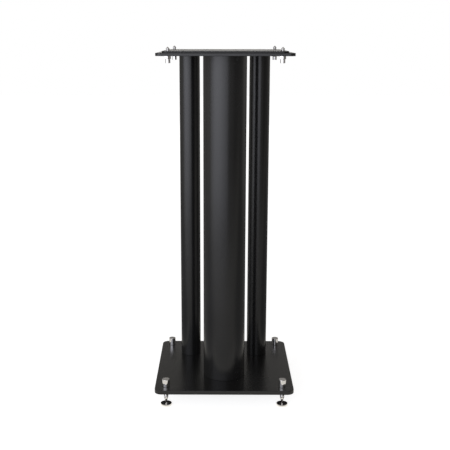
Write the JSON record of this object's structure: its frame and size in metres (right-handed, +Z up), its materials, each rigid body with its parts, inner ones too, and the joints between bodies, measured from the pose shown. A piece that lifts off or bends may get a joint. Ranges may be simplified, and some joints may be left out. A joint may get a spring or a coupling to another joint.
{
  "type": "speaker stand",
  "caption": "Floor stand for a loudspeaker: a square base on adjustable pointed feet, a thick front column and thin rear columns, and a layered top plate with adjustable studs.",
  "frame": {"origin": "on the floor, below the middle of the base plate", "axes": "+Z up, +X to the stand's right as seen from the front, -Y towards the front, where the thick column stands"},
  "size_m": [0.25, 0.25, 0.6352],
  "materials": {
    "satin_black": "satin powder coat",
    "chrome": "polished chrome plate",
    "plug_steel": "turned",
    "bolt_steel": "black oxide"
  },
  "bodies": {
    "frame": {"base_plate": "satin_black", "centre_column": "satin_black", "left_column": "satin_black", "right_column": "satin_black", "centre_lower_plug": "plug_steel", "left_lower_plug": "plug_steel", "right_lower_plug": "plug_steel", "centre_upper_plug": "plug_steel", "left_upper_plug": "plug_steel", "right_upper_plug": "plug_steel", "centre_base_bolts": "bolt_steel", "side_base_bolts": "bolt_steel", "centre_top_bolts": "bolt_steel", "side_top_bolts": "bolt_steel", "top_plate": "satin_black", "speaker_plate": "satin_black"},
    "foot_spike_fl": {"foot_spike_fl": "chrome"},
    "foot_knob_fl": {"foot_knob_fl": "chrome"},
    "floor_disc_fl": {"floor_disc_fl": "chrome"},
    "top_spike_fl": {"top_spike_fl": "chrome"},
    "top_grip_fl": {"top_grip_fl": "chrome"},
    "lock_nut_fl": {"lock_nut_fl": "chrome"},
    "foot_spike_fr": {"foot_spike_fr": "chrome"},
    "foot_knob_fr": {"foot_knob_fr": "chrome"},
    "floor_disc_fr": {"floor_disc_fr": "chrome"},
    "top_spike_fr": {"top_spike_fr": "chrome"},
    "top_grip_fr": {"top_grip_fr": "chrome"},
    "lock_nut_fr": {"lock_nut_fr": "chrome"},
    "foot_spike_rl": {"foot_spike_rl": "chrome"},
    "foot_knob_rl": {"foot_knob_rl": "chrome"},
    "floor_disc_rl": {"floor_disc_rl": "chrome"},
    "top_spike_rl": {"top_spike_rl": "chrome"},
    "top_grip_rl": {"top_grip_rl": "chrome"},
    "lock_nut_rl": {"lock_nut_rl": "chrome"},
    "foot_spike_rr": {"foot_spike_rr": "chrome"},
    "foot_knob_rr": {"foot_knob_rr": "chrome"},
    "floor_disc_rr": {"floor_disc_rr": "chrome"},
    "top_spike_rr": {"top_spike_rr": "chrome"},
    "top_grip_rr": {"top_grip_rr": "chrome"},
    "lock_nut_rr": {"lock_nut_rr": "chrome"}
  },
  "joints": [
    {"name": "foot_travel_fl", "type": "slide", "parent": "frame", "child": "foot_spike_fl", "axis": [0, 0, 1], "range_m": [-0.0002, 0.01]},
    {"name": "foot_turn_fl", "type": "hinge", "parent": "foot_spike_fl", "child": "foot_knob_fl", "pos_m": [-0.105, -0.105, 0.035], "axis": [0, 0, 1], "range_deg": [-58, 2881]},
    {"name": "disc_turn_fl", "type": "hinge", "parent": "foot_spike_fl", "child": "floor_disc_fl", "pos_m": [-0.105, -0.105, 0.003], "axis": [0, 0, 1], "continuous": true},
    {"name": "stud_travel_fl", "type": "slide", "parent": "frame", "child": "top_spike_fl", "axis": [0, 0, 1], "range_m": [-0.005, 0]},
    {"name": "stud_turn_fl", "type": "hinge", "parent": "top_spike_fl", "child": "top_grip_fl", "pos_m": [-0.095, -0.105, 0.61], "axis": [0, 0, 1], "range_deg": [-1801, 0]},
    {"name": "nut_turn_fl", "type": "hinge", "parent": "frame", "child": "lock_nut_fl", "pos_m": [-0.095, -0.105, 0.6135], "axis": [0, 0, 1], "continuous": true},
    {"name": "foot_travel_fr", "type": "slide", "parent": "frame", "child": "foot_spike_fr", "axis": [0, 0, 1], "range_m": [-0.0002, 0.01]},
    {"name": "foot_turn_fr", "type": "hinge", "parent": "foot_spike_fr", "child": "foot_knob_fr", "pos_m": [0.105, -0.105, 0.035], "axis": [0, 0, 1], "range_deg": [-58, 2881]},
    {"name": "disc_turn_fr", "type": "hinge", "parent": "foot_spike_fr", "child": "floor_disc_fr", "pos_m": [0.105, -0.105, 0.003], "axis": [0, 0, 1], "continuous": true},
    {"name": "stud_travel_fr", "type": "slide", "parent": "frame", "child": "top_spike_fr", "axis": [0, 0, 1], "range_m": [-0.005, 0]},
    {"name": "stud_turn_fr", "type": "hinge", "parent": "top_spike_fr", "child": "top_grip_fr", "pos_m": [0.095, -0.105, 0.61], "axis": [0, 0, 1], "range_deg": [-1801, 0]},
    {"name": "nut_turn_fr", "type": "hinge", "parent": "frame", "child": "lock_nut_fr", "pos_m": [0.095, -0.105, 0.6135], "axis": [0, 0, 1], "continuous": true},
    {"name": "foot_travel_rl", "type": "slide", "parent": "frame", "child": "foot_spike_rl", "axis": [0, 0, 1], "range_m": [-0.0002, 0.01]},
    {"name": "foot_turn_rl", "type": "hinge", "parent": "foot_spike_rl", "child": "foot_knob_rl", "pos_m": [-0.105, 0.105, 0.035], "axis": [0, 0, 1], "range_deg": [-58, 2881]},
    {"name": "disc_turn_rl", "type": "hinge", "parent": "foot_spike_rl", "child": "floor_disc_rl", "pos_m": [-0.105, 0.105, 0.003], "axis": [0, 0, 1], "continuous": true},
    {"name": "stud_travel_rl", "type": "slide", "parent": "frame", "child": "top_spike_rl", "axis": [0, 0, 1], "range_m": [-0.005, 0]},
    {"name": "stud_turn_rl", "type": "hinge", "parent": "top_spike_rl", "child": "top_grip_rl", "pos_m": [-0.095, 0.105, 0.61], "axis": [0, 0, 1], "range_deg": [-1801, 0]},
    {"name": "nut_turn_rl", "type": "hinge", "parent": "frame", "child": "lock_nut_rl", "pos_m": [-0.095, 0.105, 0.6135], "axis": [0, 0, 1], "continuous": true},
    {"name": "foot_travel_rr", "type": "slide", "parent": "frame", "child": "foot_spike_rr", "axis": [0, 0, 1], "range_m": [-0.0002, 0.01]},
    {"name": "foot_turn_rr", "type": "hinge", "parent": "foot_spike_rr", "child": "foot_knob_rr", "pos_m": [0.105, 0.105, 0.035], "axis": [0, 0, 1], "range_deg": [-58, 2881]},
    {"name": "disc_turn_rr", "type": "hinge", "parent": "foot_spike_rr", "child": "floor_disc_rr", "pos_m": [0.105, 0.105, 0.003], "axis": [0, 0, 1], "continuous": true},
    {"name": "stud_travel_rr", "type": "slide", "parent": "frame", "child": "top_spike_rr", "axis": [0, 0, 1], "range_m": [-0.005, 0]},
    {"name": "stud_turn_rr", "type": "hinge", "parent": "top_spike_rr", "child": "top_grip_rr", "pos_m": [0.095, 0.105, 0.61], "axis": [0, 0, 1], "range_deg": [-1801, 0]},
    {"name": "nut_turn_rr", "type": "hinge", "parent": "frame", "child": "lock_nut_rr", "pos_m": [0.095, 0.105, 0.6135], "axis": [0, 0, 1], "continuous": true}
  ],
  "couplings": [
    {"joint": "foot_turn_fl", "follows": "foot_travel_fl", "rad_per_m": 5026.5},
    {"joint": "stud_turn_fl", "follows": "stud_travel_fl", "rad_per_m": 6283.2},
    {"joint": "foot_turn_fr", "follows": "foot_travel_fr", "rad_per_m": 5026.5},
    {"joint": "stud_turn_fr", "follows": "stud_travel_fr", "rad_per_m": 6283.2},
    {"joint": "foot_turn_rl", "follows": "foot_travel_rl", "rad_per_m": 5026.5},
    {"joint": "stud_turn_rl", "follows": "stud_travel_rl", "rad_per_m": 6283.2},
    {"joint": "foot_turn_rr", "follows": "foot_travel_rr", "rad_per_m": 5026.5},
    {"joint": "stud_turn_rr", "follows": "stud_travel_rr", "rad_per_m": 6283.2}
  ]
}
